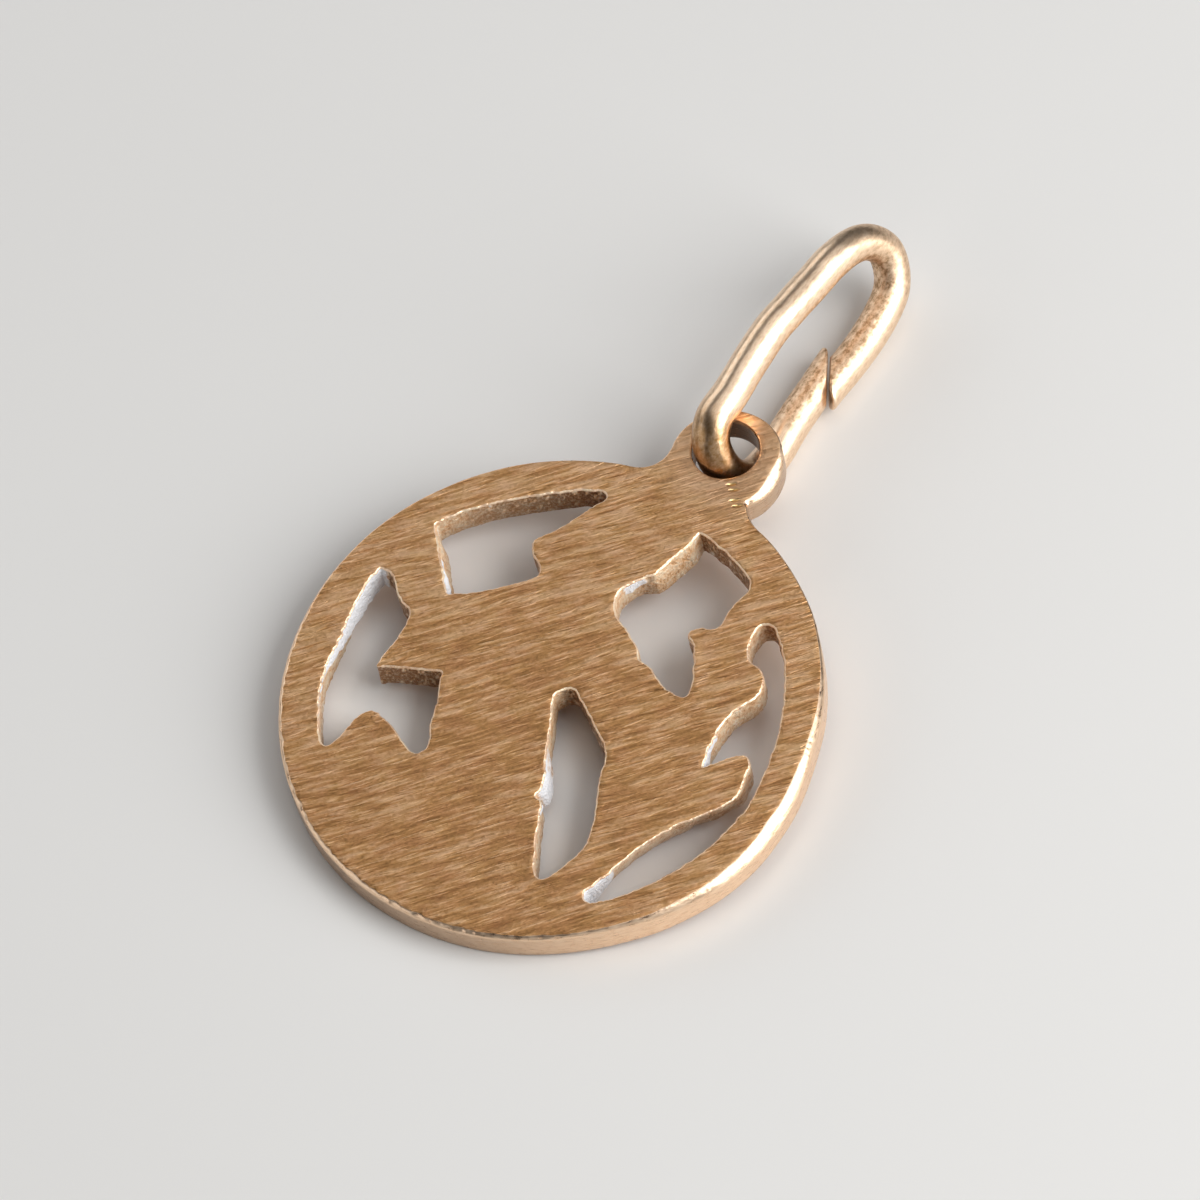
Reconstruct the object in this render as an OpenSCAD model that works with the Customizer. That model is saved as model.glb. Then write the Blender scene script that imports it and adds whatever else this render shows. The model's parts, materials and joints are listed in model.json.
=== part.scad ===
// Zodiac pendant: a pierced, brushed disc with its own hanging eye, and the oval wire jump ring
// that passes through the eye. The pendant lies on a table as it does when taken off: the disc
// touches the table with its lower edge, and the ring under the eye holds the other end up.
// Millimetres. Z is up from the table, Y runs from the foot of the disc to the ring.

/* [Disc] */
// Diameter of the disc
disc_d = 16; // [12:0.5:24]
// Thickness of the sheet that the disc and its eye are cut from
disc_t = 1; // [0.6:0.05:1.6]
// Width of the solid rim around the cut-out figure
rim_w = 0.95; // [0.7:0.05:1.6]
// Further width of the rim beside the upper right opening
rim_extra_w = 0.25; // [0:0.05:0.4]

/* [Eye] */
// Play of the leaning wire in the hole of the eye
eye_hole_play = 0.22; // [0.1:0.02:0.6]
// Width of the metal between the hole and the edge of the disc
eye_base_w = 0.5; // [0.3:0.02:1]
// Width of the bar between the hole and the outer end of the eye
eye_bar_w = 0.42; // [0.3:0.02:0.8]
// Mean width of the metal at the two sides of the hole
eye_side_w = 0.7; // [0.5:0.01:1]
// Offset of the eye's round from its hole, to the right
eye_off = 0.2; // [0:0.02:0.3]
// Step in from the eye to its neck, left side
neck_left_step = 0.06; // [0:0.01:0.3]
// Step in from the eye to its neck, right side
neck_right_step = 0.45; // [0:0.01:0.6]
// Fillet between the neck and the disc, left side
fillet_left_r = 0.9; // [0.2:0.05:1.2]
// Fillet between the neck and the disc, right side
fillet_right_r = 1.2; // [0.2:0.05:1.4]

/* [Jump ring] */
// Diameter of the wire
wire_d = 1.1; // [0.7:0.05:1.5]
// Length of the oval ring, outside
ring_l = 9.8; // [7:0.1:14]
// Play of the ring across the bar of the eye
ring_play = 0.57; // [0.4:0.01:1.2]
// Lean of the ring from upright, to the right
ring_lean = 28; // [10:1:40]
// Distance of the cut from the middle of its arm, away from the disc
cut_off = 0.2; // [-1:0.05:1]
// Gap between the two cut ends of the wire
cut_gap = 0.12; // [0.05:0.01:0.3]
// Slant of the cut, from square across the wire
cut_slant = 58; // [0:1:65]
// Turn of the slant around the wire
cut_turn = -54; // [-90:1:90]

/* [Hidden] */
$fn = 96;

gold_brushed = [0.72, 0.56, 0.38];
gold_polished = [0.80, 0.66, 0.45];
through = 0.5;
cut_over = 0.2;
// The circles of the fillets reach this far into the neck and the disc, so that the edges cross
fillet_bite = 0.005;

// Places on the disc, in its own plane, from the disc's centre
disc_r = disc_d / 2;
eye_hole_d = wire_d / cos(ring_lean) + disc_t * tan(ring_lean) + eye_hole_play;
eye_hole_y = disc_r + eye_base_w + eye_hole_d / 2;
eye_r = eye_hole_d / 2 + eye_side_w;
eye_y = eye_hole_y + eye_bar_w - eye_side_w;

// The oval of the wire's middle line: two half rounds and two straight arms
wire_r = wire_d / 2;
ring_w = disc_t / cos(ring_lean) + ring_play + 2 * wire_d;
bend_r = (ring_w - wire_d) / 2;
arm_l = ring_l - ring_w;

// The ring turns about the centre of its near bend, with its wire on the disc side of the hole
wire_inset = 0.18;
pivot_y = eye_hole_y - wire_inset + bend_r;
// Height of that centre over the table when the ring's lower arm lies on it
pivot_h = bend_r * cos(ring_lean) + wire_r;
// Tilt of the disc that lets its lower edge touch the table
pivot_from_edge = pivot_y + disc_r;
rest_tilt = asin(pivot_h / norm([pivot_from_edge, disc_t / 2])) - atan2(disc_t / 2, pivot_from_edge);
rest_lift = disc_r * sin(rest_tilt);
// The origin is on the table, below the middle of the whole pendant
pivot_rest_y = pivot_y * cos(rest_tilt) - disc_t / 2 * sin(rest_tilt);
near_y = -disc_r * cos(rest_tilt) - disc_t * sin(rest_tilt);
far_y = pivot_rest_y + arm_l + bend_r + wire_r;
middle_y = (near_y + far_y) / 2;

// The figure is drawn by hand on a field of this radius, and follows the field inside the rim
drawn_field_r = 7.05;
field_r = disc_r - rim_w;
figure_scale = field_r / drawn_field_r;
curve_steps = 4;
sharp = 1;

// The five openings, as points [x, y] that a smooth line runs through, or [x, y, sharp] at a corner.
// Points beyond the field are cut off by the rim.
upper_left = [
    [-2.35, 6.55], [-2.2, 6.45], [-2.25, 6.3], [-2.65, 5.4], [-2.95, 4.75], [-3.3, 4.2], [-3.15, 3.85],
    [-2.65, 3.5], [-2.55, 3.25], [-3, 2.7], [-3.9, 1.85], [-4.65, 1.4, sharp], [-5.35, 2.25],
    [-6.2, 3.25, sharp], [-5.5, 4.2], [-4.2, 5.4], [-3.05, 6.25], [-2.65, 6.45]
];
left = [
    [-6.85, 1.25, sharp], [-6.4, 1.2], [-6.1, 0.95], [-5.7, 0.6], [-5.2, 0.35], [-5.05, -0.4],
    [-5.1, -1.3], [-5.05, -1.65, sharp], [-4.45, -1.35], [-3.25, -0.85, sharp], [-2.75, -1.95],
    [-2.6, -2.45], [-2.25, -3.1], [-2.3, -3.35], [-2.45, -3.5], [-2.7, -3.45], [-3.35, -3.15],
    [-4.1, -2.9], [-4.45, -3], [-4.6, -3.3], [-4.75, -4.35], [-4.9, -4.55], [-5.2, -4.4], [-6.05, -3.2],
    [-6.35, -2.45], [-6.55, -1.45], [-6.75, -0.5], [-6.9, 0.6]
];
upper_right = [
    [0.95, 7.4, sharp], [3.05, 7, sharp], [3.1, 6], [3.2, 5.75], [3.15, 5.5], [3.05, 5], [3.1, 4.5],
    [2.95, 4.15], [2.7, 4.1], [2.4, 3.7], [2.7, 3.5], [3.05, 3], [3.45, 2.25], [3.5, 1.9], [3.25, 1.75],
    [2.7, 1.9], [1.95, 2.25], [1.6, 2.3, sharp], [1.35, 2.6], [0.65, 3], [0.2, 3.25], [-0.1, 3.75],
    [0.05, 4.4], [0.5, 4.9, sharp], [0.65, 5.6], [0.8, 6.1]
];
right = [
    [5.6, -5.2, sharp], [4.8, -5.2], [4.4, -5.05], [4.6, -4.35], [4.9, -3.5], [5.1, -2.85], [5.6, -1.85],
    [6.1, -1.15], [6.6, -0.3], [6.5, 0.4], [6.25, 1.05], [5.85, 0.95], [5.4, 0.35], [5.2, 0.1, sharp],
    [5, 0.7], [4.95, 1.4], [5, 2.05], [5.35, 3], [5.05, 3.65], [4.45, 3.85], [4.2, 4.3], [4.15, 4.9],
    [4.4, 5.1], [4.75, 4.9], [5.5, 4.1], [6.25, 2.8], [6.7, 1.6], [7.1, -0.4, sharp], [7.4, -3, sharp]
];
middle = [
    [0.1, 0.15], [0.45, 0.5], [0.8, 0.35], [1.65, -0.2], [2.45, -0.8], [2.75, -1.6], [3.2, -2.5],
    [3.6, -3.55], [3.55, -4.05], [3.25, -5], [3, -5.2], [2.75, -5], [2.1, -3.9], [1.7, -3.1, sharp],
    [1.45, -3, sharp], [1.4, -2.55], [1, -1.8], [0.6, -0.9], [0.2, -0.15]
];

function unit(v) = v / norm(v);
function spot(outline, i) = outline[(i + len(outline)) % len(outline)];
function place(outline, i) = [spot(outline, i).x, spot(outline, i).y];
function is_corner(outline, i) = spot(outline, i).z == sharp;
function heading(outline, from, to) = unit(place(outline, to) - place(outline, from));
function leaving(outline, i) = heading(outline, is_corner(outline, i) ? i : i - 1, i + 1);
function arriving(outline, i) = heading(outline, i - 1, is_corner(outline, i) ? i : i + 1);

// Point at share s of a smooth line from p to q, with the two end directions given
function between(p, q, p_way, q_way, s) =
    p * (1 + 2 * s) * (1 - s) * (1 - s) + p_way * s * (1 - s) * (1 - s)
    + q * s * s * (3 - 2 * s) - q_way * s * s * (1 - s);

function smooth_loop(outline) = [
    for (i = [0 : len(outline) - 1])
        let (p = place(outline, i), q = place(outline, i + 1), span = norm(q - p))
        for (step = [0 : curve_steps - 1])
            between(p, q, span * leaving(outline, i), span * arriving(outline, i + 1), step / curve_steps)
];

// One opening of the figure, as a cutter, trimmed by the rim
module opening(outline, extra_rim = 0) {
    intersection() {
        translate([0, 0, -through])
            linear_extrude(disc_t + 2 * through)
                scale(figure_scale)
                    polygon(smooth_loop(outline));
        translate([0, 0, -2 * through])
            cylinder(r = field_r - extra_rim, h = disc_t + 4 * through);
    }
}

// One half of the neck, on the +X side, with its fillet to the edge of the disc
module half_neck(side_x, fillet_r) {
    fillet_x = side_x + fillet_r - fillet_bite;
    fillet_y = sqrt(pow(disc_r + fillet_r - fillet_bite, 2) - fillet_x * fillet_x);
    difference() {
        linear_extrude(disc_t)
            polygon([[0, eye_y], [side_x, eye_y], [side_x, fillet_y], [fillet_x, fillet_y], [0, 0]]);
        translate([fillet_x, fillet_y, -through])
            cylinder(r = fillet_r, h = disc_t + 2 * through);
    }
}

// The disc in its own plane, back face at Z = 0
module flat_disc() {
    difference() {
        union() {
            cylinder(r = disc_r, h = disc_t);
            translate([eye_off, eye_y, 0])
                cylinder(r = eye_r, h = disc_t);
            half_neck(eye_r + eye_off - neck_right_step, fillet_right_r);
            mirror([1, 0, 0])
                half_neck(eye_r - eye_off - neck_left_step, fillet_left_r);
        }
        translate([0, eye_hole_y, -through])
            cylinder(d = eye_hole_d, h = disc_t + 2 * through);
        opening(upper_left);
        opening(left);
        opening(upper_right, rim_extra_w);
        opening(right);
        opening(middle);
    }
}

// A half round of wire in the XY plane, open towards -Y
module bend() {
    rotate_extrude(angle = 180)
        translate([bend_r, 0])
            circle(d = wire_d);
}

// The ring in the XY plane, long way along Y, with its near bend's centre at the origin
module flat_ring() {
    cut_l = wire_d / cos(cut_slant) + 2 * cut_over;
    cut_w = wire_d + 2 * cut_over;
    difference() {
        union() {
            translate([0, arm_l, 0])
                bend();
            mirror([0, 1, 0])
                bend();
            for (side = [-1, 1])
                translate([side * bend_r, arm_l, 0])
                    rotate([90, 0, 0])
                        cylinder(d = wire_d, h = arm_l);
        }
        translate([bend_r, arm_l / 2 + cut_off, 0])
            rotate([0, cut_turn, 0])
                rotate([0, 0, -cut_slant])
                    cube([cut_l, cut_gap, cut_w], center = true);
    }
}

module pendant_disc() {
    color(gold_brushed)
        translate([0, -middle_y, rest_lift])
            rotate([rest_tilt, 0, 0])
                flat_disc();
}

module jump_ring() {
    color(gold_polished)
        translate([0, pivot_rest_y - middle_y, pivot_h])
            rotate([0, 90 - ring_lean, 0])
                flat_ring();
}

pendant_disc();
jump_ring();
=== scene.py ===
"""Looks of a zodiac pendant: a pierced, brushed disc with its hanging eye, and the wire ring in that eye.

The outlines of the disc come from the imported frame. The worn edges, saw marks, brush strokes, residue
and the bent wire are made here. Named lengths are millimetres, and the scene itself is in metres.
"""

import json
import math

import bmesh
import bpy
import numpy as np
from mathutils import Matrix, Vector, noise
from mathutils.geometry import delaunay_2d_cdt


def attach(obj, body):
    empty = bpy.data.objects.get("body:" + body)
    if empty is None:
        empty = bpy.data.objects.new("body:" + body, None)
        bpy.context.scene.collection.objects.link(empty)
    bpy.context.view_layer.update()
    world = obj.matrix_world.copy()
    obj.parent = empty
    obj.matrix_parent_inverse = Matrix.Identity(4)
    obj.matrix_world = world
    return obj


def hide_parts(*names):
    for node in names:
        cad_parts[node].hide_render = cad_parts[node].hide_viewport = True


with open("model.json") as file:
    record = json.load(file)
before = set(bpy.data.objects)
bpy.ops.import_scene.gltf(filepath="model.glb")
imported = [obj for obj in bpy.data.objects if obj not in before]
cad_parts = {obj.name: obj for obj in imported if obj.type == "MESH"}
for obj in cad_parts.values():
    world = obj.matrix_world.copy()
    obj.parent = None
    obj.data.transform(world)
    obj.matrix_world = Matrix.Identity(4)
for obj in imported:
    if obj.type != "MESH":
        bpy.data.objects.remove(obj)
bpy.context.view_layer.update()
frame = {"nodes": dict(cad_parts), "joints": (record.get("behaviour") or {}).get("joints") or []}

MM = 0.001

# Camera, as in the photograph: degrees and millimetres
VIEW_AZIMUTH = 41.563
VIEW_ELEVATION = 55.694
VIEW_ROLL = -9.805
VIEW_DISTANCE = 250.0
VIEW_AIM = (0.066, -2.496, 2.949)
VIEW_LENS = 258.5
SENSOR_W = 36.0
CLIP_NEAR = 10.0
CLIP_FAR = 10000.0

# Outlines of the disc: what counts as its upper side and as a corner, and the steps along the outlines
FACES_UP = 0.9
FACES_FLUSH = 0.99
WELD = 1e-7
CORNER_TURN = math.radians(28)
OUTLINE_STEP = 0.045
CURVE_FINER = 3
LEAST_STEPS = 8
SAW_CORNER_R = 0.05

# Flat sides of the disc: the grid of vertices between the edges, and how uneven the sides are
FACE_STEP = 0.16
FACE_ROW_SHARE = 0.87
FACE_CLEAR_SHARE = 0.5
FACE_JOIN = 1e-7
FACE_WAVE = 0.012
FACE_WAVE_L = 2.6
FACE_SINK = 0.6

# Walls of the disc: their rows of vertices, and the form of their edges between round and bevelled
EDGE_STEPS = 8
EDGE_FLAT = 0.5
WALL_STEPS = 9
TIP_SHARE = 0.5
TIP_REACH = 3

# Rim: the radius of its edge where it is sharp, worn and softened, and how uneven it is
SHARP_R = 0.035
RIM_WORN_R = 0.27
RIM_WORN_AT = math.radians(-3)
RIM_WORN_SPAN = math.radians(55)
RIM_SOFT_R = 0.09
RIM_SOFT_AT = math.radians(-115)
RIM_SOFT_SPAN = (math.radians(80), math.radians(48))
RIM_BULGE = 0.21
RIM_BULGE_AT = math.radians(-16)
RIM_BULGE_SPAN = math.radians(36)
RIM_UNEVEN = 0.12
RIM_UNEVEN_L = 0.9
RIM_SCALLOP_LEAST = 0.6
RIM_SCALLOP_L = 0.4
RIM_NICK = 0.012
RIM_NICK_L = 0.13
RIM_WAVE = 0.02
RIM_WAVE_L = 1.5
# Painted shade on the rim's wall, left off where it faces the light at the lower right
RIM_SHADE = 0.45
RIM_LIT_SPAN = (math.radians(30), math.radians(75))
LOWER_WEAR = 0.4

# Eye and its hole: where their edges are worn, and how deep below the edge the painted shade begins
EYE_WORN_R = 0.56
EYE_WORN_AT = math.radians(-42)
EYE_WORN_SPAN = (math.radians(80), math.radians(16))
EYE_WORN_REACH = (2.15, 1.7)
HOLE_WORN_R = 0.03
HOLE_WORN_AT = math.radians(40)
HOLE_WORN_SPAN = math.radians(120)
SHADE_FROM_SHARE = 0.3
SHADE_BELOW = 0.1

# Sawn walls of the openings: edge, burr, and saw marks as depth and spacing along the wall and down it
SAWN_EDGE_R = 0.05
SAWN_BURR = 0.02
SAWN_BURR_L = 0.2
SAW_MARKS = ((0.034, 0.32, 2.5), (0.016, 0.12, 0.45), (0.010, 0.07, 0.09))

# Walls that lean, as the saw was held: a place on the wall, how far the lean reaches, and its shift below
LEANS = (
    ((-5.5, 2.4), 1.3, (0.31, -0.05)),
    ((0.9, 5.7), 1.3, (0.15, -0.06)),
    ((1.25, -2.1), 0.9, (0.14, -0.02)),
    ((5.6, -3.0), 2.4, (-0.25, 0.09)),
    ((6.5, -0.9), 1.2, (-0.25, 0.09)),
)
LEAN_FULL_SHARE = 0.4

# Painted shade: the walls that don't face this way, towards the light, are painted darker
LIT_WAY = (0.85, 0.5)
LIT_FROM = (0.65, -0.1)

# Pale polishing residue on the sawn walls: from, to, reach, and how deep it goes at both ends
RESIDUE = (
    ((-6.9, 1.1), (-6.7, 0.0), 0.4, 1.3, 1.1),
    ((-6.7, 0.0), (-6.3, -2.5), 0.4, 1.1, 0.3),
    ((-6.3, -2.5), (-5.4, -4.3), 0.3, 0.3, 0.1),
    ((-5.3, 2.15), (-4.8, 1.5), 0.3, 0.3, 1.2),
    ((0.1, 4.3), (0.25, 4.45), 0.34, 0.55, 0.4),
    ((3.15, 1.75), (3.3, 1.75), 0.25, 0.4, 0.4),
    ((5.2, 0.3), (5.05, 1.0), 0.35, 1.2, 0.4),
    ((4.6, -4.9), (4.8, -4.3), 0.5, 1.3, 1.0),
    ((1.15, -1.5), (1.6, -2.6), 0.35, 1.0, 1.2),
    ((1.6, -2.6), (2.1, -3.7), 0.3, 0.7, 0.15),
)
RESIDUE_T = 0.07
RESIDUE_FADE = 0.3
RESIDUE_GAIN = 2.2
RESIDUE_LOSS = 0.1
RESIDUE_CLUMPS = ((0.5, 0.22), (0.3, 0.09))
RESIDUE_LEVEL = 0.7
RESIDUE_LUMP = 0.5
RESIDUE_LUMP_L = 0.16
RESIDUE_SHOWN = 0.1

# Wire ring: places along it as (along, across, aside) from the centre of its near bend
WIRE_R = 0.55
WIRE_SIDES = 48
WIRE_STEP = 0.05
WIRE_CURVE_STEPS = 24
WIRE_LINE = (
    (5.2, -1.2, -0.24), (3.6, -1.25, -0.19), (2.4, -1.28, -0.15), (1.2, -1.31, -0.1),
    (0.2, -1.38, -0.02), (-0.8, -1.24, -0.02), (-1.35, -0.74, -0.03), (-1.54, 0, -0.03),
    (-1.38, 0.74, -0.03), (-0.85, 1.22, -0.02), (0.1, 1.31, 0), (1.2, 1.45, 0),
    (2.4, 1.55, 0), (3.4, 1.49, 0), (4.6, 1.38, 0), (5.6, 1.31, 0.03), (6.45, 1.1, 0.06),
    (7.05, 0.7, 0.1), (7.36, 0.05, 0.12), (7.15, -0.62, 0.15), (6.65, -1.08, 0.17), (5.9, -1.29, 0.18),
    (5.0, -1.4, 0.18), (4.2, -1.41, 0.18), (3.2, -1.37, 0.17), (2.2, -1.34, 0.17), (1.0, -1.32, 0.17),
)

# Cut of the wire: its plane, how far it bends the rows of vertices, and its blunted tips and rounded edges
CUT_PLACE = (3.22, -1.3, 0.0)
CUT_NORMAL = (0.53, -0.5, 0.69)
CUT_GAP = 0.06
CUT_BLEND = 1.6
CUT_EDGE_R = 0.06
CUT_EDGE_STEPS = 4
CUT_CLEAR_STEPS = 2
LOWER_TIP = 0.66
UPPER_TIP = 0.52
TIP_SOFT = 0.2

# Wear of the wire: dents as depth and length, the wider near bend, the marked stretches, and the stretch of
# the near bend painted with amber shade
WIRE_DENTS = ((0.012, 0.9), (0.005, 0.3))
BEND_WIDER = 0.06
BEND_END = (0.8, -0.8)
MARKED_BEND = (5.6, 7.2)
MARKED_BEND_SHARE = 0.6
MARKED_INSIDE = (0.1, 0.8)
MARKED_ARMS = (0.5, 1.5)
SHADED_BEND = (-0.3, -1.3)

# Colours of the metal, of what clings to it, of painted shade and painted glints, and of the floor
GOLD_TONES = ((0.44, 0.22, 0.082), (0.67, 0.355, 0.14), (0.90, 0.57, 0.30))
ROSE_TONES = ((0.46, 0.215, 0.088), (0.69, 0.355, 0.155), (0.91, 0.57, 0.325))
SAWN_TONES = ((0.70, 0.38, 0.17), (0.94, 0.62, 0.36), (1.0, 0.80, 0.56))
FILED_TONES = ((0.86, 0.57, 0.36), (1.0, 0.74, 0.52))
BURR_HIGHLIGHT_TONES = (*FILED_TONES, SAWN_TONES[-1])
WIRE_TONES = ((0.44, 0.26, 0.135), (0.78, 0.54, 0.345), (0.97, 0.745, 0.54))
WIRE_AMBER_SHADE = (0.42, 0.235, 0.095, 1)
PAINTED_GLINT = (1.0, 0.70, 0.32, 1)
PALE = (0.93, 0.64, 0.42, 1)
SIDE_SHADE = (0.28, 0.12, 0.042, 1)
PAINTED_SHADE = (0.09, 0.04, 0.018, 1)
CHALK = (0.90, 0.91, 0.94, 1)
FLOOR_COLOUR = (0.78, 0.77, 0.75, 1)

# Brushed face: each kind of stroke as length, width, turn in degrees and detail, and its weight in the tone
STROKE_ANGLE = 47
STROKE_DEEP = 0.5
STROKE_ROUGH = 0.6
STROKES = (
    ((2.2, 0.15, 0, 2.0), 0.32),
    ((1.1, 0.1, 6, 1.0), 0.16),
    ((1.3, 0.28, -5, 2.0), 0.36),
)
# Glints: thin strokes painted lighter in the tone, a painted highlight
GLINTS = (0.8, 0.06, 2, 1.0)
GLINTS_FROM = (0.58, 0.72)
GLINTS_WEIGHT = 0.14
DASHES = (0.9, 0.08, -3, 1.0)
DASHES_FROM = (0.6, 0.72)
DASHES_WEIGHT = -0.12
SWAY_L = 4.0
SWAY = 0.2
FACE_GRAIN = (0.1, 0.1, 0.1)
FACE_GRAIN_WEIGHT = 0.16
FACE_PATCH = (0.6, 0.6, 0.6)
FACE_PATCH_WEIGHT = 0.06
FACE_AT = (0.41, 0.53, 0.65)
ROSE_FROM = (0.35, 0.65)
FACE_ROUGHNESS = (0.3, 0.7, 0.32, 0.48)
FACE_BUMP = 0.07

# Short scratches below the hole of the eye: places on the disc, and their size and depth; the grooves are
# relief, and their bright colour is a painted glint
SCRATCHES = ((0.82, 8.59), (0.98, 8.46), (1.2, 8.17), (1.37, 8.05))
SCRATCH_SIZE = (0.16, 0.06, 1)
SCRATCH_TURN = 8
SCRATCH_END = 1.2
SCRATCH_BRIGHT = (0.1, 0.5)
SCRATCH_WEIGHT = -0.95

# The face is paler and smoother round the hole of the eye: centre on the disc, reach and share
PALE_PLACE = (0.2, 9.6)
PALE_REACH = (2.6, 1.3)
PALE_SHARE = 0.38
PALE_BUMP = 0.4

# Painted light: the face is painted lighter away from this place on the disc, from one distance to another
LIGHTER_FROM = (1.5, -3.0)
LIGHTER_REACH = (4.0, 8.5)
LIGHTER_WEIGHT = 0.045

# Sawn walls: grain and patches, painted shade in their depths, painted shade on the walls away from the light
# with painted sparkles on the brightest grains, residue, and how metallic each is
SAWN_GRAIN = (0.08, 0.08, 0.1)
SAWN_GRAIN_DETAIL = 3.0
SAWN_GRAIN_WEIGHT = 0.5
SAWN_PATCH = (0.4, 0.4, 0.3)
SAWN_PATCH_WEIGHT = 0.5
SAWN_AT = (0.38, 0.48, 0.58)
SAWN_SHADE_DEPTHS = (-1.1, -0.2, 0.5, 0.0)
SIDE_SHADE_SHARE = 0.85
SPARKLE = (0.46, 0.64, 1.0, 0.42)
CHALK_GRAIN = 0.6
CHALK_FROM = (0.4, 0.9)
SAWN_METAL = 0.25
SIDE_SHADE_METAL = 0.7
SAWN_ROUGHNESS = (0.0, 1.0, 0.34, 0.8)
SAWN_BUMP = 0.08

# Burr along the openings, painted pale as a highlight on their edges
BURR_GRAIN = (0.09, 0.09, 0.09)
BURR_PATCH = (0.5, 0.5, 0.5)
BURR_GRAIN_WEIGHT = 0.4
BURR_PATCH_WEIGHT = 0.6
BURR_AT = (0.42, 0.5, 0.58)
BURR_METAL = 0.5
BURR_ROUGHNESS = (0.3, 0.7, 0.28, 0.45)
BURR_BUMP = 0.03

# Filed rim and hole, with the share of painted shade they take
FILE_MARK = (0.3, 0.3, 0.06)
FILE_MARK_DETAIL = 3.0
FILED_AT = (0.3, 0.6)
FILED_SHADE_SHARE = 0.85
FILED_ROUGHNESS = (0.3, 0.7, 0.24, 0.4)
FILED_BUMP = 0.012

# Polished wire
MOTTLE = (0.13, 0.2, 0.13)
MOTTLE_DETAIL = 4.0
MOTTLE_ROUGH = 0.65
MOTTLE_AT = (0.36, 0.5, 0.64)
AMBER_SPOTS = (0.36, 0.64, 1.0, 0.6)
WIRE_SCRATCH = (0.06, 0.2, 0.06)
WIRE_SCRATCH_DETAIL = 3.0
WIRE_SCRATCH_WEIGHT = 0.22
WIRE_CLEAN_AT = (0.3, 0.6)
WORN_BUMP_SHARE = 1.2
BEND_SHADE_BUMP_SHARE = 0.55
WIRE_ROUGHNESS = (0.0, 1.0, 0.31, 0.44)
WIRE_BUMP = 0.016

# Light and floor: each lamp's direction, distance, width, height and power in watts
FLOOR_W = 900.0
FLOOR_ROUGHNESS = 0.45
LAMPS = {
    "key": ((0.78, 0.2, 0.55), 240.0, 190.0, 240.0, 0.74),
    "top": ((0.1, 0.25, 0.95), 260.0, 240.0, 240.0, 0.16),
    "fill": ((-0.82, 0.25, 0.45), 260.0, 260.0, 140.0, 0.15),
    "front": ((-0.58, -0.72, 0.36), 260.0, 260.0, 150.0, 0.11),
    "side": ((0.62, -0.7, 0.36), 260.0, 220.0, 140.0, 0.05),
}
WORLD_LIGHT = (0.045, 0.045, 0.048)


def show(thing, name):
    """A new object in the scene, from its data."""
    made = bpy.data.objects.new(name, thing)
    bpy.context.scene.collection.objects.link(made)
    return made


def make_camera():
    """The camera that looks from where the photograph was taken."""
    azimuth, elevation, roll = (math.radians(a) for a in (VIEW_AZIMUTH, VIEW_ELEVATION, VIEW_ROLL))
    level = Vector((math.cos(azimuth), math.sin(azimuth), 0))
    back = Vector((
        math.sin(azimuth) * math.cos(elevation), -math.cos(azimuth) * math.cos(elevation), math.sin(elevation)
    ))
    right = math.cos(roll) * level + math.sin(roll) * back.cross(level)
    up = back.cross(right)
    lens = bpy.data.cameras.new("camera")
    lens.sensor_width = SENSOR_W
    lens.lens = VIEW_LENS
    lens.clip_start = CLIP_NEAR * MM
    lens.clip_end = CLIP_FAR * MM
    camera = show(lens, "camera")
    place = (Vector(VIEW_AIM) + back * VIEW_DISTANCE) * MM
    camera.matrix_world = Matrix.Translation(place) @ Matrix((right, up, back)).transposed().to_4x4()
    bpy.context.scene.camera = camera


# The disc's outlines, from the frame

def disc_plane(node):
    """Matrix to the row frame from the disc's own plane: centre on the upper face, X right, Y to the eye."""
    mesh = node.data
    upper = [p for p in mesh.polygons if p.normal.z > FACES_UP]
    normal = sum((p.normal * p.area for p in upper), Vector()).normalized()
    across = Vector((1, 0, 0))
    along = normal.cross(across)
    spots = [mesh.vertices[i].co for p in upper for i in p.vertices]
    right = max(s.dot(across) for s in spots)
    left = min(s.dot(across) for s in spots)
    foot = min(s.dot(along) for s in spots)
    radius = (right - left) / 2
    centre = across * (left + right) / 2 + along * (foot + radius) + normal * spots[0].dot(normal)
    return Matrix.Translation(centre) @ Matrix((across, along, normal)).transposed().to_4x4()


def upper_outlines(node, plane):
    """Closed outlines of the upper face in millimetres on its plane, with the metal on their left side."""
    mesh = bmesh.new()
    mesh.from_mesh(node.data)
    bmesh.ops.remove_doubles(mesh, verts=mesh.verts, dist=WELD)
    mesh.normal_update()
    normal = plane.to_3x3() @ Vector((0, 0, 1))
    to_plane = plane.inverted()
    after = {}
    for edge in mesh.edges:
        upper = [c for c in edge.link_loops if c.face.normal.dot(normal) > FACES_FLUSH]
        if len(upper) == 1:
            after[upper[0].vert] = upper[0].link_loop_next.vert
    outlines = []
    while after:
        first, spot = after.popitem()
        chain = [first]
        while spot is not first:
            chain.append(spot)
            spot = after.pop(spot)
        outlines.append(np.array([(to_plane @ v.co)[:2] for v in chain]) / MM)
    mesh.free()
    return sorted(outlines, key=lambda o: -np.ptp(o, axis=0).max())


def even(points, step, closed=True):
    """The line through the points, at even steps."""
    line = np.vstack([points, points[:1]]) if closed else np.asarray(points)
    way = np.concatenate([[0], np.cumsum(np.linalg.norm(np.diff(line, axis=0), axis=1))])
    count = max(LEAST_STEPS, round(way[-1] / step))
    stops = np.linspace(0, way[-1], count, endpoint=not closed)
    return np.stack([np.interp(stops, way, axis) for axis in line.T], axis=1)


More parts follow.
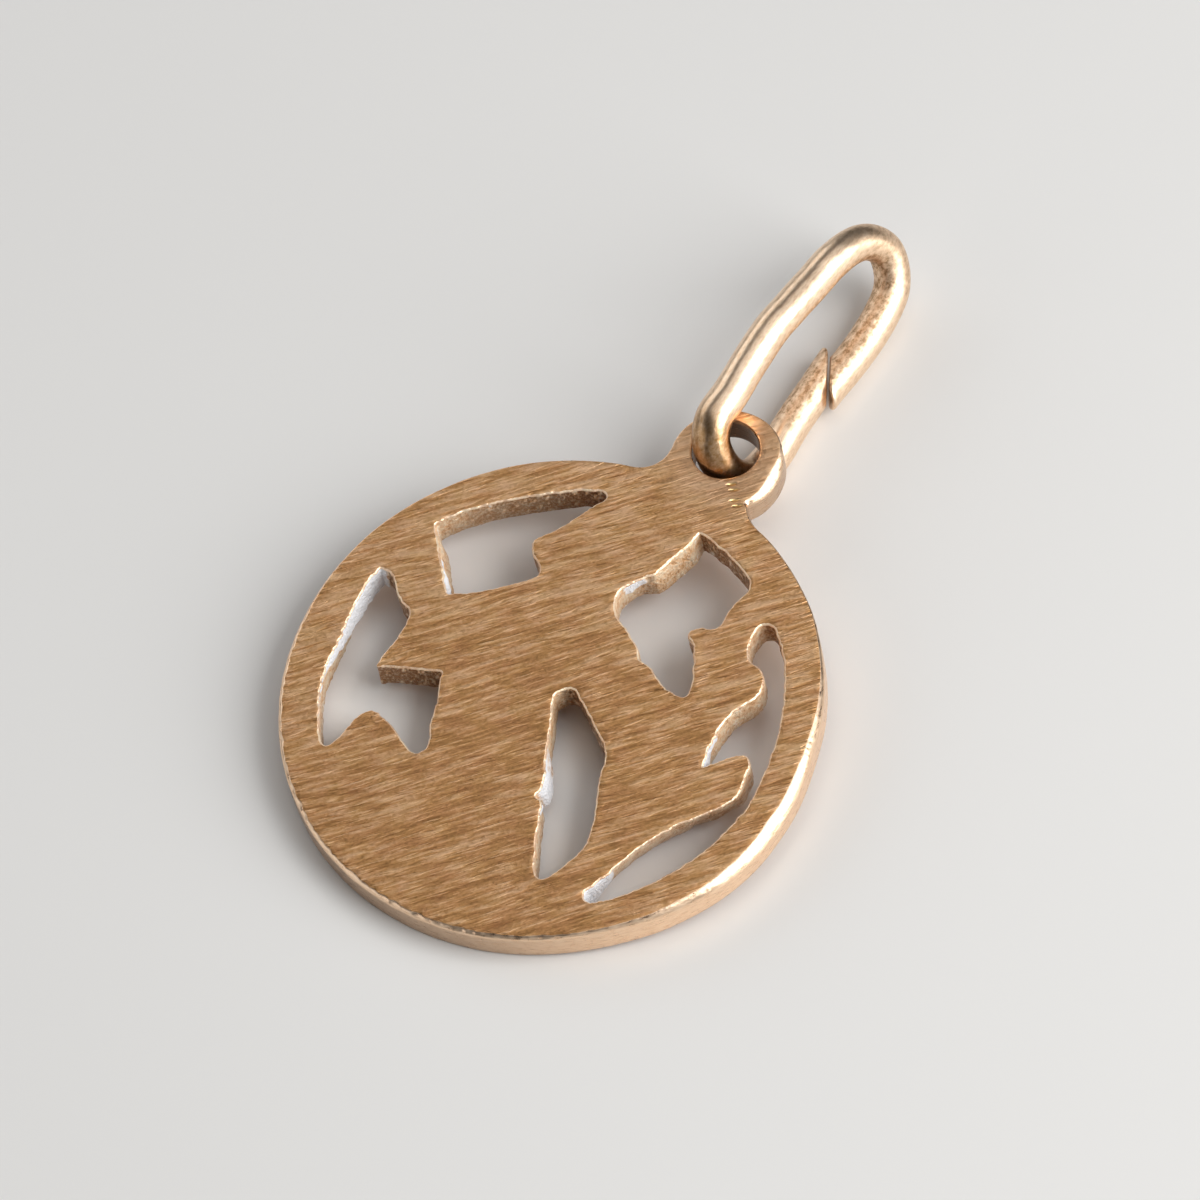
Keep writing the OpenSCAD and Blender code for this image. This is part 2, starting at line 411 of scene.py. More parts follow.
def faired(points, step):
    """The closed outline at even steps, curved between its corners."""
    ahead = np.roll(points, -1, 0) - points
    span = np.linalg.norm(ahead, axis=1)[:, None]
    span_before = np.roll(span, 1, 0)
    way_out = ahead / span
    way_in = np.roll(way_out, 1, 0)
    mixed = (way_out * span_before + way_in * span) / (span + span_before)
    sharp = (way_out * way_in).sum(1) < math.cos(CORNER_TURN)
    leaving = np.where(sharp[:, None], way_out, mixed)
    arriving = np.roll(np.where(sharp[:, None], way_in, mixed), -1, 0)
    target = np.roll(points, -1, 0)
    curve = []
    for p, q, p_way, q_way, length in zip(points, target, leaving, arriving, span[:, 0]):
        count = max(2, math.ceil(CURVE_FINER * length / step))
        s = np.linspace(0, 1, count, endpoint=False)[:, None]
        curve.append(
            p * (1 + 2 * s) * (1 - s) ** 2 + p_way * length * s * (1 - s) ** 2
            + q * s ** 2 * (3 - 2 * s) - q_way * length * s ** 2 * (1 - s)
        )
    return even(np.vstack(curve), step)


def softened(points, radius):
    """The closed outline with its corners rounded off."""
    line = points[:, 0] + 1j * points[:, 1]
    step = np.abs(np.diff(line)).mean()
    waves = np.fft.fftfreq(len(line), step)
    line = np.fft.ifft(np.fft.fft(line) * np.exp(-2 * (math.pi * waves * radius) ** 2))
    return np.stack([line.real, line.imag], axis=1)


def outward(points):
    """Unit vectors that point away from the metal, which is on the left of the outline."""
    way = np.roll(points, -1, 0) - np.roll(points, 1, 0)
    way /= np.linalg.norm(way, axis=1)[:, None]
    return np.stack([way[:, 1], -way[:, 0]], axis=1)


def level_at(outline, heights):
    """The outline's points in space, at one height or at a height each."""
    return np.column_stack([outline, np.broadcast_to(heights, len(outline))])


def rough(spots, wave):
    """Smooth noise from about -1 to 1 at each spot, with this wave length; wave may differ by axis."""
    return np.array([noise.noise(Vector(s)) for s in spots / np.asarray(wave)])


def eased(value, low, high):
    """From 0 at low to 1 at high, with soft ends."""
    share = np.clip((value - low) / (high - low), 0, 1)
    return share * share * (3 - 2 * share)


def turn_from(spots, way):
    """Angle of each spot from a direction, about the origin."""
    return np.abs((np.arctan2(spots[:, 1], spots[:, 0]) - way + math.pi) % (2 * math.pi) - math.pi)


# The disc's mesh

class Mesh:
    """Vertices and faces of one piece, with a material for each face and a shade for each vertex."""

    def __init__(self):
        self.spots, self.faces, self.materials, self.shades = [], [], [], []

    def add(self, spots, shades=None):
        """Adds vertices and returns their numbers."""
        first = len(self.spots)
        self.spots.extend(map(tuple, spots))
        self.shades.extend(np.zeros(len(spots)) if shades is None else shades)
        return np.arange(first, first + len(spots))

    def face(self, numbers, material):
        """Adds one face."""
        self.faces.append(tuple(int(n) for n in numbers))
        self.materials.append(material)

    def band(self, upper, lower, material):
        """Adds quads between two closed rows of vertices."""
        for a, b, c, d in zip(lower, np.roll(lower, -1), np.roll(upper, -1), upper):
            self.face((a, b, c, d), material)

    def piece(self, name, matrix, materials):
        """The finished object, in the row frame."""
        mesh = bpy.data.meshes.new(name)
        mesh.from_pydata([matrix @ (Vector(s) * MM) for s in self.spots], [], self.faces)
        for material in materials:
            mesh.materials.append(material)
        mesh.polygons.foreach_set("material_index", self.materials)
        mesh.polygons.foreach_set("use_smooth", [True] * len(self.faces))
        shades = mesh.attributes.new("shade", "FLOAT", "POINT")
        shades.data.foreach_set("value", np.array(self.shades, np.float32))
        mesh.validate()
        mesh.update()
        return show(mesh, name)


def edge_profile(upper_r, lower_r, depth):
    """Steps (inset, depth) down a wall with worn edges between round and bevelled, whose radii may differ."""
    shares = np.linspace(0, 1, EDGE_STEPS)
    insets = EDGE_FLAT * (1 - shares) + (1 - EDGE_FLAT) * (1 - np.sin(shares * math.pi / 2))
    downs = insets[::-1]
    upper = [(upper_r * i, upper_r * d) for i, d in zip(insets, downs)]
    between = np.linspace(0, 1, WALL_STEPS)[1:-1]
    plain = [(0 * upper_r, upper_r + (depth - lower_r - upper_r) * s) for s in between]
    lower = [(lower_r * i, depth - lower_r * d) for i, d in zip(insets[::-1], downs[::-1])]
    return upper + plain + lower


def fitting(outline, radius):
    """An edge radius along the outline, smaller at the tips of metal that are too thin for it."""
    way = np.roll(outline, -1, 0) - outline
    before = np.roll(way, 1, 0)
    turn = np.arctan2(before[:, 0] * way[:, 1] - before[:, 1] * way[:, 0], (before * way).sum(1))
    bend = np.maximum(turn, 0) / np.linalg.norm(way, axis=1)
    tightest = np.max([np.roll(bend, i) for i in range(-TIP_REACH, TIP_REACH + 1)], axis=0)
    return np.minimum(radius, TIP_SHARE / np.maximum(tightest, TIP_SHARE / radius))


def rim_wear(outline, hole_place):
    """Radius of the rim's upper edge along it: the lower right of the disc and of the eye are worn."""
    rim = RIM_WORN_R * eased(turn_from(outline, RIM_WORN_AT), RIM_WORN_SPAN, 0)
    from_hole = outline - hole_place
    near = eased(np.linalg.norm(from_hole, axis=1), *EYE_WORN_REACH)
    eye = EYE_WORN_R * near * eased(turn_from(from_hole, EYE_WORN_AT), *EYE_WORN_SPAN)
    flat = level_at(outline, 0)
    worn = (rim + eye) * (1 + RIM_UNEVEN * rough(flat, RIM_UNEVEN_L))
    soft = RIM_SOFT_R * eased(turn_from(outline, RIM_SOFT_AT), *RIM_SOFT_SPAN)
    scallops = RIM_SCALLOP_LEAST + np.abs(rough(flat, RIM_SCALLOP_L))
    return SHARP_R + worn + soft * scallops + RIM_NICK * np.abs(rough(flat, RIM_NICK_L))


def along_stroke(spots, start, end):
    """Each spot's distance from the stroke between two places, and its share of the way along it."""
    start, way = np.array(start), np.subtract(end, start)
    share = np.clip(((spots - start) @ way) / (way @ way), 0, 1)
    return np.linalg.norm(spots - start - share[:, None] * way, axis=1), share


def residue_share(spots):
    """How thick the residue is at each spot of a sawn wall, from 0 to 1."""
    thick = np.zeros(len(spots))
    for start, end, reach, start_deep, end_deep in RESIDUE:
        away, share = along_stroke(spots[:, :2], start, end)
        deep = start_deep + (end_deep - start_deep) * share + spots[:, 2]
        thick = np.maximum(thick, np.minimum(1 - away / reach, deep / RESIDUE_FADE))
    clumps = sum(amount * rough(spots, length) for amount, length in RESIDUE_CLUMPS)
    return np.clip(RESIDUE_GAIN * thick + clumps - RESIDUE_LOSS, 0, 1)


def lean(spots):
    """How far a sawn wall's lower edge is shifted at each spot."""
    shift = np.zeros((len(spots), 2))
    for place, reach, way in LEANS:
        near = eased(np.linalg.norm(spots - place, axis=1), reach, LEAN_FULL_SHARE * reach)
        shift += near[:, None] * way
    return shift


def sawn_wall(mesh, outline, depth, edge_material, wall_material):
    """One wall of an opening. Returns its upper and lower row of vertices."""
    away = outward(outline)
    edge_r = fitting(outline, SAWN_EDGE_R)
    shift_below = lean(outline)
    # Painted shade on the walls that face away from the light, kept as negative shades
    side_shade = eased(away @ LIT_WAY, *LIT_FROM)
    rows = []
    for inset, down in edge_profile(edge_r, edge_r, depth):
        wall = level_at(outline, -np.clip(down, SAWN_EDGE_R, depth - SAWN_EDGE_R))
        marks = sum(deep * rough(wall, (along, along, drop)) for deep, along, drop in SAW_MARKS)
        thick = residue_share(wall)
        lumps = RESIDUE_LEVEL + RESIDUE_LUMP * rough(wall, RESIDUE_LUMP_L)
        shift = marks + RESIDUE_T * thick * lumps - inset
        burr = SAWN_BURR * eased(down, 2 * SAWN_EDGE_R, 0) * np.abs(rough(wall, SAWN_BURR_L))
        level = level_at(outline, burr - down)
        level[:, :2] += away * shift[:, None] + shift_below * (down / depth)[:, None]
        rows.append(mesh.add(level, np.where(thick > RESIDUE_SHOWN, thick, -side_shade)))
    for step, (upper, lower) in enumerate(zip(rows, rows[1:])):
        mesh.band(upper, lower, edge_material if step < EDGE_STEPS - 1 else wall_material)
    return rows[0], rows[-1]


def filed_wall(mesh, outline, depth, upper_r, lower_r, shade_amount, material):
    """One filed wall, of the rim or of the drilled hole. Returns its upper and lower row of vertices."""
    away = outward(outline)
    wave = RIM_WAVE * rough(level_at(outline, 0), RIM_WAVE_L)
    # Painted shade begins a little below the edge
    shaded_from, shaded_to = SHADE_FROM_SHARE * upper_r, upper_r + SHADE_BELOW
    rows = []
    for inset, down in edge_profile(upper_r, lower_r, depth):
        level = level_at(outline, -down)
        level[:, :2] += away * (wave - inset)[:, None]
        rows.append(mesh.add(level, shade_amount * eased(down, shaded_from, shaded_to)))
    for upper, lower in zip(rows, rows[1:]):
        mesh.band(upper, lower, material)
    return rows[0], rows[-1]


def inside(spots, outlines):
    """Whether each spot is on the metal, by the number of outlines that it lies in."""
    crossings = np.zeros(len(spots), int)
    for outline in outlines:
        for (ax, ay), (bx, by) in zip(outline, np.roll(outline, -1, 0)):
            if ay == by:
                continue
            spans = (ay > spots[:, 1]) != (by > spots[:, 1])
            crossings += spans & (spots[:, 0] < ax + (spots[:, 1] - ay) * (bx - ax) / (by - ay))
    return crossings % 2 == 1


def face_grid(outlines, step):
    """Places over the face, in offset rows, that keep clear of the outlines."""
    low, high = outlines[0].min(0), outlines[0].max(0)
    rows = np.arange(low[1], high[1], step * FACE_ROW_SHARE)
    columns = np.arange(low[0], high[0], step)
    spots = np.array([(x + (i % 2) * step / 2, y) for i, y in enumerate(rows) for x in columns])
    edge = np.vstack(outlines)
    clear = np.array([np.hypot(*(edge - s).T).min() > FACE_CLEAR_SHARE * step for s in spots])
    spots = spots[clear]
    return spots[inside(spots, outlines)]


def fill_face(mesh, rows, height, material, upper):
    """Closes one side of the disc between its rows of edge vertices."""
    outlines = [np.array([mesh.spots[n][:2] for n in row]) for row in rows]
    grid = face_grid(outlines, FACE_STEP)
    level = level_at(grid, height)
    level[:, 2] += FACE_WAVE * (rough(level, FACE_WAVE_L) - FACE_SINK)
    numbers = np.concatenate([*rows, mesh.add(level)])
    spots = [Vector(s) for s in np.vstack([*outlines, grid])]
    edges, first = [], 0
    for row in rows:
        edges += [(first + i, first + (i + 1) % len(row)) for i in range(len(row))]
        first += len(row)
    made, _, triangles, origin, _, _ = delaunay_2d_cdt(spots, edges, [], 0, FACE_JOIN)
    centres = np.array([sum((made[i] for i in t), Vector((0, 0))) / 3 for t in triangles])
    for triangle, kept in zip(triangles, inside(centres, outlines)):
        if kept:
            corner = [numbers[origin[i][0]] for i in triangle]
            mesh.face(corner if upper else corner[::-1], material)


def make_disc(node, plane, materials):
    """The disc with its eye, from the frame's outlines; the materials are face, sawn, burr with painted
    highlight, and filed.
    """
    to_plane = plane.inverted()
    depth = -min((to_plane @ v.co).z for v in node.data.vertices) / MM
    rim, *openings = [faired(o, OUTLINE_STEP) for o in upper_outlines(node, plane)]
    bulge = RIM_BULGE * eased(turn_from(rim, RIM_BULGE_AT), RIM_BULGE_SPAN, 0)
    rim = rim + outward(rim) * bulge[:, None]
    hole = max(openings, key=lambda o: o[:, 1].mean())
    face, sawn, burr_highlight, filed = range(len(materials))
    mesh = Mesh()
    rim_r = rim_wear(rim, hole.mean(0))
    # Painted shade on the rim's wall, left off its lit lower right
    rim_shade = RIM_SHADE * eased(turn_from(rim, RIM_WORN_AT), *RIM_LIT_SPAN)
    rows = [filed_wall(mesh, rim, depth, rim_r, LOWER_WEAR * rim_r, rim_shade, filed)]
    for opening in openings:
        if opening is hole:
            turn = turn_from(hole - hole.mean(0), HOLE_WORN_AT)
            hole_r = SHARP_R + HOLE_WORN_R * eased(turn, HOLE_WORN_SPAN, 0)
            # The hole's wall is fully painted with shade below its edge
            rows.append(filed_wall(mesh, hole, depth, hole_r, hole_r, 1.0, filed))
        else:
            rows.append(sawn_wall(mesh, softened(opening, SAW_CORNER_R), depth, burr_highlight, sawn))
    fill_face(mesh, [upper for upper, _ in rows], 0, face, True)
    fill_face(mesh, [lower for _, lower in rows], -depth, face, False)
    return mesh.piece("brushed_disc", plane, materials)


# The wire ring

def smooth_path(points, step):
    """A smooth open line through the points, at even steps."""
    points = np.array(points, float)
    guides = np.vstack([2 * points[0] - points[1], points, 2 * points[-1] - points[-2]])
    s = np.linspace(0, 1, WIRE_CURVE_STEPS, endpoint=False)[:, None]
    curve = []
    for a, b, c, d in zip(guides, guides[1:], guides[2:], guides[3:]):
        curve.append(
            b + s * (c - a) / 2 + s ** 2 * (a - 2.5 * b + 2 * c - d / 2)
            + s ** 3 * (1.5 * (b - c) + (d - a) / 2)
        )
    return even(np.vstack([*curve, points[-1:]]), step, closed=False)


def wire_axes(path):
    """Two unit axes for each section of the wire: inward in the ring's plane, and aside from that plane."""
    way = np.gradient(path, axis=0)
    way /= np.linalg.norm(way, axis=1)[:, None]
    across = np.cross(way, (0, 0, 1))
    across /= np.linalg.norm(across, axis=1)[:, None]
    return across, np.cross(across, way)


def cut_reach(path, across, aside, turns, offset, near):
    """For each line along the wire, the step at which it meets the cut, among the steps that are near it."""
    normal = np.array(CUT_NORMAL) / np.linalg.norm(CUT_NORMAL)
    reach = []
    for turn in turns:
        line = path + WIRE_R * (math.cos(turn) * across + math.sin(turn) * aside)
        over = (line - CUT_PLACE) @ normal - offset
        k = near[np.nonzero(np.diff(np.sign(over[near])))[0][0]]
        reach.append(k + over[k] / (over[k] - over[k + 1]))
    return np.array(reach)


def blunted(reach, tip):
    """The reach of each line with its longest ones cut back, so that the tip isn't a blade."""
    limit = tip / WIRE_STEP
    soft = TIP_SOFT / WIRE_STEP
    over = reach - reach.mean()
    return reach.mean() - soft * np.logaddexp(-over / soft, -limit / soft)


def at_steps(values, steps):
    """Rows of values, read between the whole steps."""
    whole = np.arange(len(values))
    return np.stack([np.interp(steps, whole, axis) for axis in values.T], axis=1)


def wire_row(mesh, path, across, aside, turns, steps, inset):
    """Adds one row of vertices round the wire, each at its own step along it."""
    centre = at_steps(path, steps)
    wider = 1 + BEND_WIDER * eased(centre[:, :1], *BEND_END)
    inward = np.cos(turns)[:, None] * at_steps(across, steps)
    way = inward + np.sin(turns)[:, None] * at_steps(aside, steps) * wider
    spots = centre + WIRE_R * way
    dents = sum(depth * rough(spots, length) for depth, length in WIRE_DENTS)
    inside_flank = eased(np.cos(turns), *MARKED_INSIDE) * eased(centre[:, 0], *MARKED_ARMS)
    marks = np.maximum(MARKED_BEND_SHARE * eased(centre[:, 0], *MARKED_BEND), inside_flank)
    # Painted amber shade along the near bend, as negative shades
    marks -= eased(centre[:, 0], *SHADED_BEND)
    return mesh.add(spots + (dents - inset)[:, None] * way, marks)


def close_end(mesh, row, first):
    """Closes a cut end of the wire."""
    middle = mesh.add([np.mean([mesh.spots[n] for n in row], axis=0)])[0]
    for a, b in zip(row, np.roll(row, -1)):
        mesh.face((a, b, middle) if first else (b, a, middle), 0)


def ring_matrix(joint):
    """Matrix to the row frame from the ring's own plane, whose origin is the hinge."""
    axis = Vector(joint["axis"]).normalized()
    along = Vector((0, 1, 0))
    turn = Matrix((along, axis.cross(along), axis)).transposed().to_4x4()
    return Matrix.Translation(joint["pos_m"]) @ turn


def make_ring(joint, materials):
    """The bent wire from one end of its cut to the other."""
    path = smooth_path(WIRE_LINE, WIRE_STEP)
    across, aside = wire_axes(path)
    turns = np.linspace(0, 2 * math.pi, WIRE_SIDES, endpoint=False)
    near_start = np.arange(len(path) // 3)
    near_end = near_start + len(path) - len(near_start) - 1
    start = -blunted(-cut_reach(path, across, aside, turns, -CUT_GAP / 2, near_start), LOWER_TIP)
    end = blunted(cut_reach(path, across, aside, turns, CUT_GAP / 2, near_end), UPPER_TIP)
    first, last = math.ceil(start.mean()), math.floor(end.mean())
    blend = CUT_BLEND / WIRE_STEP
    mesh = Mesh()

    def row(step, inset=0.0):
        """One row of vertices, which follows the slant of the cut near it."""
        to_start = (start - first) * max(0.0, 1 - (step - first) / blend)
        to_end = (end - last) * max(0.0, 1 - (last - step) / blend)
        return wire_row(mesh, path, across, aside, turns, step + to_start + to_end, inset)

    quarter = np.linspace(0, math.pi / 2, CUT_EDGE_STEPS)[1:]
    insets = CUT_EDGE_R * (1 - np.cos(quarter))
    steps = CUT_EDGE_R * (1 - np.sin(quarter)) / WIRE_STEP
    rows = [row(first + s, r) for s, r in zip(steps[::-1], insets[::-1])]
    rows += [row(step) for step in np.arange(first + CUT_CLEAR_STEPS, last - CUT_CLEAR_STEPS + 1)]
    rows += [row(last - s, r) for s, r in zip(steps, insets)]
    for upper, lower in zip(rows, rows[1:]):
        mesh.band(upper, lower, 0)
    close_end(mesh, rows[0], True)
    close_end(mesh, rows[-1], False)
    return mesh.piece("wire_ring", ring_matrix(joint), materials)


# Materials

class Shader:
    """A material made of nodes. Each call adds a node, with its inputs set or linked by name."""

    def __init__(self, name):
        self.material = bpy.data.materials.new(name)
        self.material.use_nodes = True
        self.tree = self.material.node_tree
        self.tree.nodes.clear()

    def add(self, kind, inputs, **settings):
        """Adds a node of this kind."""
        node = self.tree.nodes.new("ShaderNode" + kind)
        for key, value in settings.items():
            setattr(node, key, value)
        for key, value in inputs.items():
            if isinstance(value, bpy.types.NodeSocket):
                self.tree.links.new(value, node.inputs[key])
            else:
                node.inputs[key].default_value = value
        return node

    def place(self):
        """Places on the object."""
        return self.add("TexCoord", {}).outputs["Object"]

    def shade(self):
        """The mesh's shade."""
        return self.add("Attribute", {}, attribute_name="shade").outputs["Fac"]

    def stretched(self, place, size, turn=(0, 0, 0), shift=(0, 0, 0)):
        """Places measured in cells of this size in millimetres, turned with the surface."""
        scale = [s * MM for s in size]
        inputs = {"Vector": place, "Rotation": turn, "Scale": scale, "Location": shift}
        return self.add("Mapping", inputs, vector_type="TEXTURE").outputs["Vector"]

    def away(self, place, centre, turn, size=(1, 1, 1)):
        """Distance from a centre, in cells of this size."""
        near = self.stretched(place, size, turn, centre)
        return self.add("VectorMath", {0: near}, operation="LENGTH").outputs["Value"]

    def noise(self, place, detail=2.0, roughness=0.55):
        """Noise with cells of one unit."""
        inputs = {"Vector": place, "Scale": 1.0, "Detail": detail, "Roughness": roughness}
        return self.add("TexNoise", inputs).outputs["Fac"]

    def swayed(self, place, size, amount):
        """Places that wander sideways, so that what follows them bends softly."""
        inputs = {"Vector": self.stretched(place, (size, size, size)), "Scale": 1.0, "Detail": 1.0}
        way = self.add("TexNoise", inputs).outputs["Color"]
        way = self.add("VectorMath", {0: way, 1: (0.5, 0.5, 0.5)}, operation="SUBTRACT").outputs[0]
        way = self.add("VectorMath", {0: way, 1: (amount * MM,) * 3}, operation="MULTIPLY").outputs[0]
        return self.add("VectorMath", {0: place, 1: way}, operation="ADD").outputs[0]

    def weighted(self, *pairs):
        """Sum of values, each with its weight."""
        total = 0.0
        for value, weight in pairs:
            total = self.add("Math", {0: value, 1: weight, 2: total}, operation="MULTIPLY_ADD").outputs[0]
        return total

    def product(self, a, b):
        """One value times another."""
        return self.add("Math", {0: a, 1: b}, operation="MULTIPLY").outputs[0]

    def ramp(self, value, places, colours):
        """A colour for each value, between the colours at these places."""
        node = self.add("ValToRGB", {"Fac": value})
        elements = node.color_ramp.elements
        while len(elements) < len(places):
            elements.new(1.0)
        for element, at, colour in zip(elements, places, colours):
            element.position = at
            element.color = (*colour, 1.0)
        return node.outputs["Color"]

    def range(self, value, low, high, to_low=0.0, to_high=1.0):
        """The value from low to high, spread from to_low to to_high and kept there."""
        inputs = {"Value": value, "From Min": low, "From Max": high, "To Min": to_low, "To Max": to_high}
        return self.add("MapRange", inputs).outputs["Result"]

    def mix(self, share, a, b):
        """Colour a with this share of colour b."""
        return self.add("Mix", {"Factor": share, "A": a, "B": b}, data_type="RGBA").outputs["Result"]

    def bump(self, height, depth):
        """Normals of a surface with this relief."""
        return self.add("Bump", {"Height": height, "Distance": depth * MM, "Strength": 1.0}).outputs["Normal"]

    def finish(self, inputs):
        """The finished material."""
        surface = self.add("BsdfPrincipled", inputs)
        self.add("OutputMaterial", {"Surface": surface.outputs["BSDF"]})
        return self.material


def on_disc(plane, spot):
    """A place on the disc's upper face, in the row frame."""
    return plane @ (Vector((*spot, 0)) * MM)


def stroke_turn(plane, angle):
    """Rotation of strokes at this angle from the brushing direction."""
    return (plane.to_3x3() @ Matrix.Rotation(math.radians(STROKE_ANGLE + angle), 3, "Z")).to_euler()


def brushed_gold(plane):
    """Hand-brushed metal: wandering strokes that cross at small angles with painted glints among them,
    painted light that lightens the face away from one place, and scratches with painted glints by the paler
    eye.
    """
    shader = Shader("brushed_gold")
    place = shader.place()
    swayed = shader.swayed(place, SWAY_L, SWAY)

    def strokes(length, width, angle, detail):
        """Noise that is drawn out along the brushing direction."""
        cells = shader.stretched(swayed, (length, width, STROKE_DEEP), stroke_turn(plane, angle))
        return shader.noise(cells, detail, STROKE_ROUGH)

    grain = shader.noise(shader.stretched(place, FACE_GRAIN))
    patches = shader.noise(shader.stretched(place, FACE_PATCH))
    from_lower = shader.away(place, on_disc(plane, LIGHTER_FROM), plane.to_euler())
    from_eye = shader.away(place, on_disc(plane, PALE_PLACE), plane.to_euler())
    tone = shader.weighted(
        *((strokes(*stroke), weight) for stroke, weight in STROKES),
        (patches, FACE_PATCH_WEIGHT),
        # Painted highlight: thin glints painted lighter into the tone
        (shader.range(strokes(*GLINTS), *GLINTS_FROM), GLINTS_WEIGHT),
        (shader.range(strokes(*DASHES), *DASHES_FROM), DASHES_WEIGHT),
        (grain, FACE_GRAIN_WEIGHT),
        # Painted light: lighter away from one place
        (shader.range(from_lower, *LIGHTER_REACH), LIGHTER_WEIGHT),
    )
    yellow = shader.ramp(tone, FACE_AT, GOLD_TONES)
    rose = shader.ramp(tone, FACE_AT, ROSE_TONES)
    colour = shader.mix(shader.range(patches, *ROSE_FROM), yellow, rose)
    colour = shader.mix(shader.range(from_eye, *PALE_REACH, 0.0, PALE_SHARE), colour, PALE)
    height = shader.product(tone, shader.range(from_eye, *PALE_REACH, 1.0, PALE_BUMP))
    scratch_turn = stroke_turn(plane, -SCRATCH_TURN)
    for spot in SCRATCHES:
        from_scratch = shader.away(place, on_disc(plane, spot), scratch_turn, SCRATCH_SIZE)
        groove = shader.range(from_scratch, 0.0, SCRATCH_END, 1.0, 0.0)
        # Painted glint on each scratch
        colour = shader.mix(shader.range(groove, *SCRATCH_BRIGHT), colour, PAINTED_GLINT)
        height = shader.weighted((height, 1.0), (groove, SCRATCH_WEIGHT))
    return shader.finish({
        "Base Color": colour,
        "Metallic": 1.0,
        "Roughness": shader.range(grain, *FACE_ROUGHNESS),
        "Normal": shader.bump(height, FACE_BUMP),
    })


def sawn_gold(plane):
    """Grainy sawn metal, painted darker downwards as shade, with painted shade on the walls that face away
    from the light and pale residue where the mesh says so.
    """
    shader = Shader("sawn_gold")
    place = shader.place()
    grain = shader.noise(shader.stretched(place, SAWN_GRAIN), SAWN_GRAIN_DETAIL)
    patches = shader.noise(shader.stretched(place, SAWN_PATCH))
    tone = shader.weighted((grain, SAWN_GRAIN_WEIGHT), (patches, SAWN_PATCH_WEIGHT))
    colour = shader.ramp(tone, SAWN_AT, SAWN_TONES)
    down = shader.stretched(place, (1, 1, 1), plane.to_euler(), plane.to_translation())
    down = shader.add("SeparateXYZ", {"Vector": down}).outputs["Z"]
    # Painted shade, darker towards the bottom of the walls
    colour = shader.mix(shader.range(down, *SAWN_SHADE_DEPTHS), colour, PAINTED_SHADE)
    shade = shader.shade()
    # Painted shade on the walls away from the light, lifted on the brightest grains as painted sparkle
    side_shade = shader.range(shade, -1.0, 0.0, SIDE_SHADE_SHARE, 0.0)
    colour = shader.mix(shader.product(side_shade, shader.range(grain, *SPARKLE)), colour, SIDE_SHADE)
    chalk = shader.range(shader.weighted((shade, 1.0), (grain, CHALK_GRAIN)), *CHALK_FROM)
    return shader.finish({
        "Base Color": shader.mix(chalk, colour, CHALK),
        "Metallic": shader.weighted((side_shade, SIDE_SHADE_METAL), (chalk, -SAWN_METAL), (1.0, SAWN_METAL)),
        "Roughness": shader.range(chalk, *SAWN_ROUGHNESS),
        "Normal": shader.bump(grain, SAWN_BUMP),
    })


def burr_highlight_gold():
    """The thin burr that the saw has left along the openings, painted pale as a highlight."""
    shader = Shader("burr_highlight_gold")
    place = shader.place()
    grain = shader.noise(shader.stretched(place, BURR_GRAIN))
    stretches = shader.noise(shader.stretched(place, BURR_PATCH))
    tone = shader.weighted((grain, BURR_GRAIN_WEIGHT), (stretches, BURR_PATCH_WEIGHT))
    return shader.finish({
        "Base Color": shader.ramp(tone, BURR_AT, BURR_HIGHLIGHT_TONES),
        "Metallic": BURR_METAL,
        "Roughness": shader.range(grain, *BURR_ROUGHNESS),
        "Normal": shader.bump(grain, BURR_BUMP),
    })


def filed_gold():
    """The filed and worn rim and edges, with painted shade where the mesh says so."""
    shader = Shader("filed_gold")
    marks = shader.noise(shader.stretched(shader.place(), FILE_MARK), FILE_MARK_DETAIL)
    colour = shader.ramp(marks, FILED_AT, FILED_TONES)
    shade_amount = shader.range(shader.shade(), 0.0, 1.0, 0.0, FILED_SHADE_SHARE)
    return shader.finish({
        "Base Color": shader.mix(shade_amount, colour, PAINTED_SHADE),
        "Metallic": 1.0,
        "Roughness": shader.range(marks, *FILED_ROUGHNESS),
        "Normal": shader.bump(marks, FILED_BUMP),
    })


